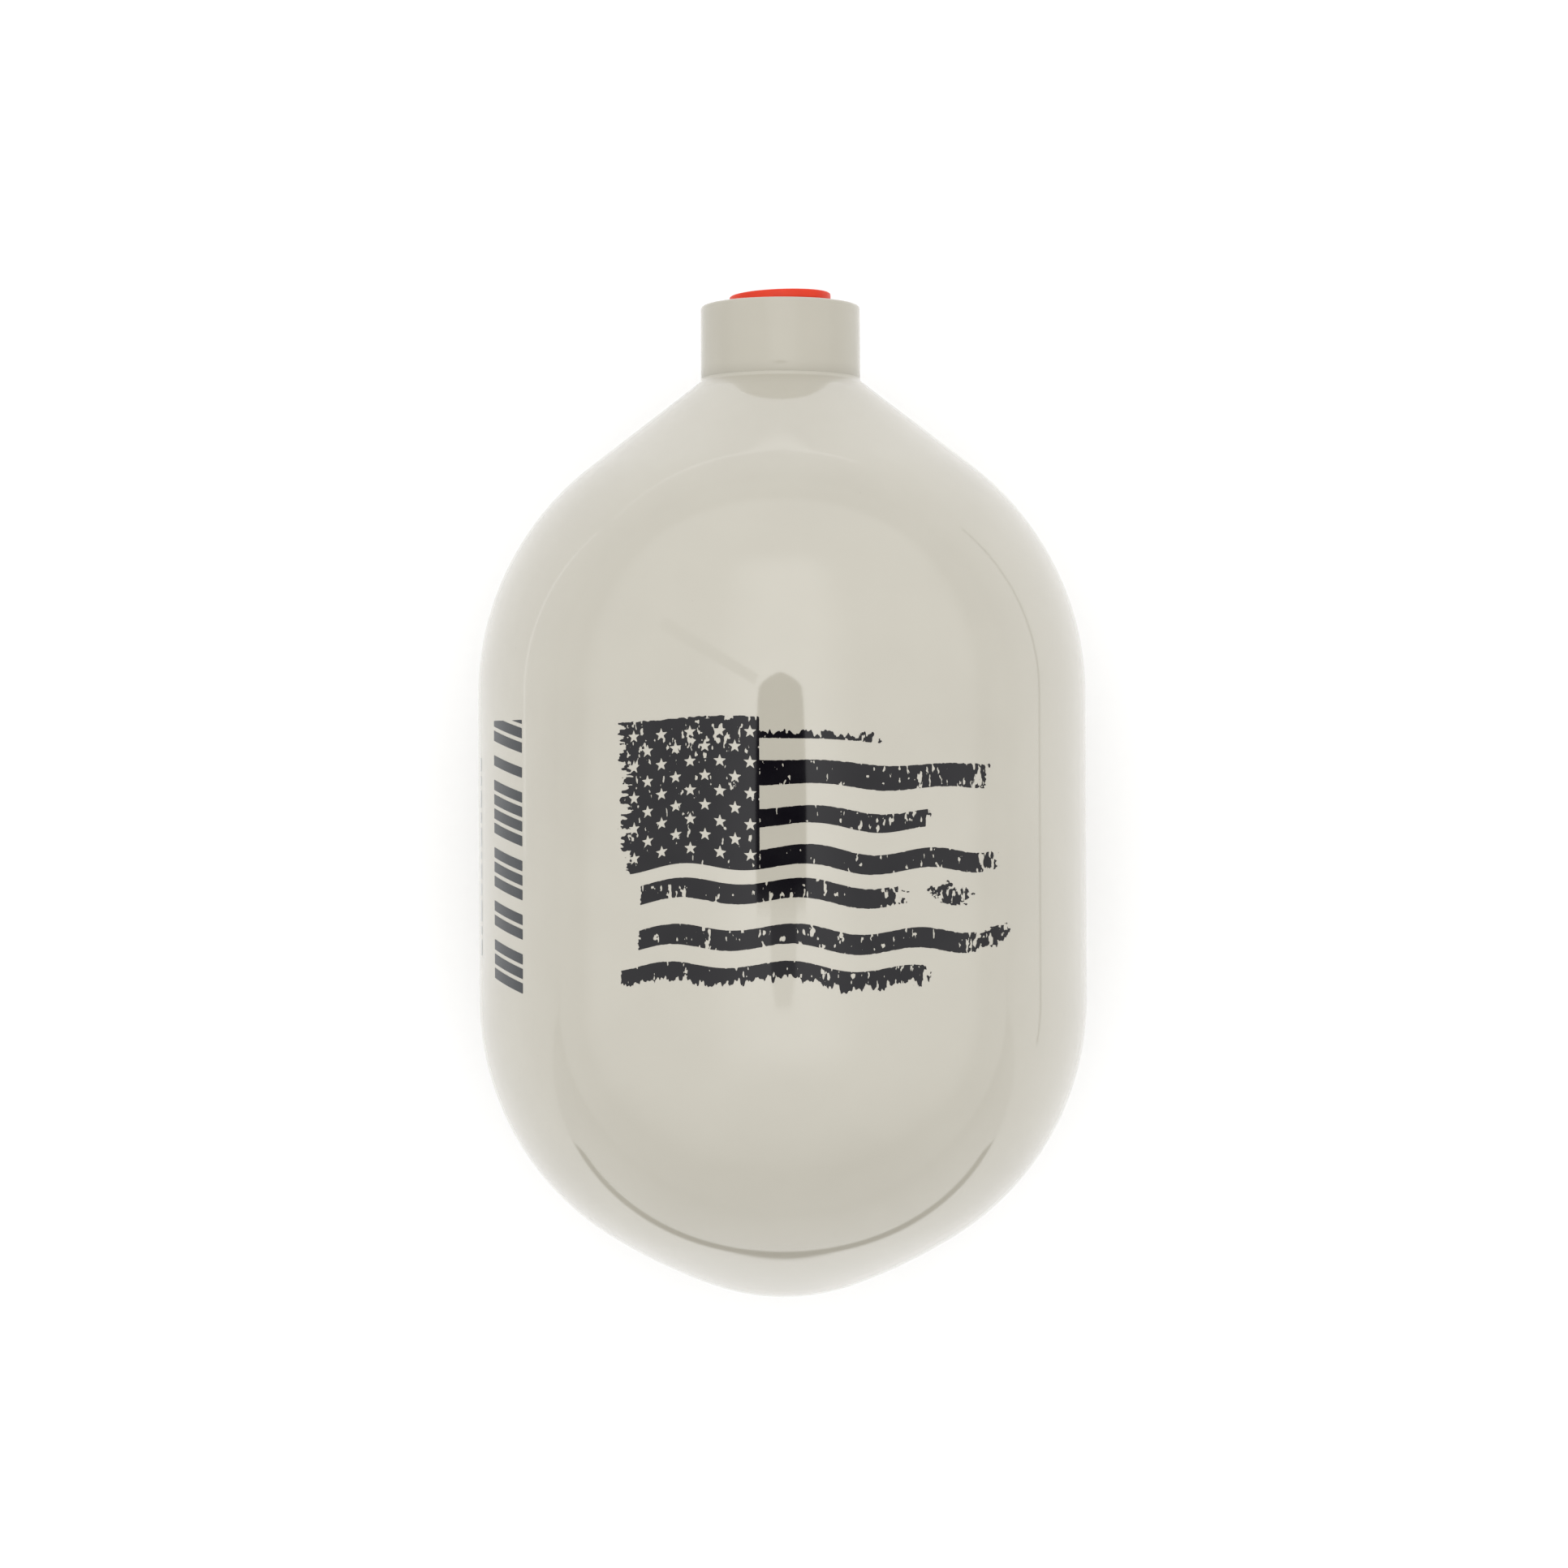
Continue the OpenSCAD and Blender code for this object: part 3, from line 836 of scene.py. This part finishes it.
def floorFinish():
    material, tree, shader, place = newFinish("whiteSheet", {"Roughness": 0.9, "Specular IOR Level": 0.0})
    grain = noiseOf(tree, place, 1 / (3 * mm), 2)
    low = tuple(c * 0.995 for c in studio["floorColour"])
    tree.links.new(rampOf(tree, grain, [(0.3, low), (0.7, studio["floorColour"])]),
                   shader.inputs["Base Color"])
    return material


def setStage():
    half = studio["floorSize"] / 2
    flatPiece("floorSheet", rectangle((-half, half), (-half, half)), 0, floorFinish())
    world = bpy.data.worlds.new("softRoom")
    bpy.context.scene.world = world
    world.use_nodes = True
    tree = world.node_tree
    coords = addNode(tree, "ShaderNodeTexCoord")
    parts = addNode(tree, "ShaderNodeSeparateXYZ")
    tree.links.new(coords.outputs["Generated"], parts.inputs[0])
    sky = rangeOf(tree, parts.outputs["Z"], 0.0, 1.0, studio["horizon"], studio["zenith"])
    lowSide = rangeOf(tree, parts.outputs["Y"], -0.95, -0.15, studio["lowSideShare"], 1)
    tree.links.new(mathOf(tree, "MULTIPLY", sky, lowSide), tree.nodes["Background"].inputs["Strength"])
    tree.nodes["Background"].inputs["Color"].default_value = (1.0, 1.0, 1.0, 1)
    light = bpy.data.lights.new("overheadPanel", "AREA")
    light.shape = "RECTANGLE"
    light.size, light.size_y = studio["panelWidth"], studio["panelLength"]
    # An area light's radiance is its power over pi times its area
    light.energy = studio["panelRadiance"] * pi * light.size * light.size_y
    lamp = bpy.data.objects.new("overheadPanel", light)
    lamp.location = studio["panelCentre"]
    lamp.visible_glossy = False
    bpy.context.scene.collection.objects.link(lamp)
    for name, (spanX, spanY, height, radiance, soft) in reflections.items():
        flatPiece(name, rectangle(spanX, spanY), height, glowFinish(name, radiance, (spanX, spanY), soft),
                  reflectedOnly=True)
    # Painted reflections seen only in the gloss: the bright sheet's extra glow under the bottle, painted
    # shade along its lower and right edges, and painted highlights along its left and high edges
    flatPiece("brightSheet", rectangle((-half, half), (-0.208, half)), 0.2 * mm, sheetFinish(),
              reflectedOnly=True)
    for name, (spanX, spanY, radiance, soft) in sheetEdgeReflections.items():
        flatPiece(name, rectangle(spanX, spanY), 0.3 * mm, glowFinish(name, radiance, (spanX, spanY), soft),
                  reflectedOnly=True)


setStage()

print("Placing the camera")
viewpoint = {
    "distance": 700 * mm,  # from the bottle's axis
    "aside": 0.33 * mm,
    "lens": 83.87,
    "roll": -0.24,
}


def placeCamera():
    data = bpy.data.cameras.new("overheadCamera")
    data.sensor_width = 36
    data.lens = viewpoint["lens"]
    data.clip_start, data.clip_end = 0.01, 50
    camera = bpy.data.objects.new("overheadCamera", data)
    camera.location = (viewpoint["aside"], printSheet["middleY"], axisHeight + viewpoint["distance"])
    camera.rotation_euler = (0, 0, radians(viewpoint["roll"]))
    bpy.context.scene.collection.objects.link(camera)
    bpy.context.scene.camera = camera
    # What the gloss shows of a camera, its grip and its arm, above the bottle
    top = camera.location.z + 5 * mm
    body = [(-0.112, -0.041), (0.100, -0.041), (0.104, -0.02)]
    for turn in range(6, 180, 6):
        across = cos(radians(turn))
        body.append((-0.006 + 0.110 * across * abs(across) ** 0.6, -0.01 + 0.116 * sin(radians(turn))))
    body.append((-0.116, -0.02))
    flatPiece("cameraShade", body, top, glowFinish("cameraBlack", 0.05), reflectedOnly=True)
    grip = [(-0.052, -0.041), (-0.05, -0.066), (-0.03, -0.078), (0.03, -0.078), (0.055, -0.066), (0.06,
                                                                                                  -0.041)]
    flatPiece("gripShade", grip, top, glowFinish("gripGrey", 1.2), reflectedOnly=True)
    flatPiece("armShade", [(-0.118, 0.05), (-0.10, 0.095), (-0.75, 0.53), (-0.78, 0.45)], top,
              glowFinish("armGrey", 1.45), reflectedOnly=True)


placeCamera()
scene = bpy.context.scene
scene.view_settings.view_transform = "Standard"
scene.view_settings.look = "None"
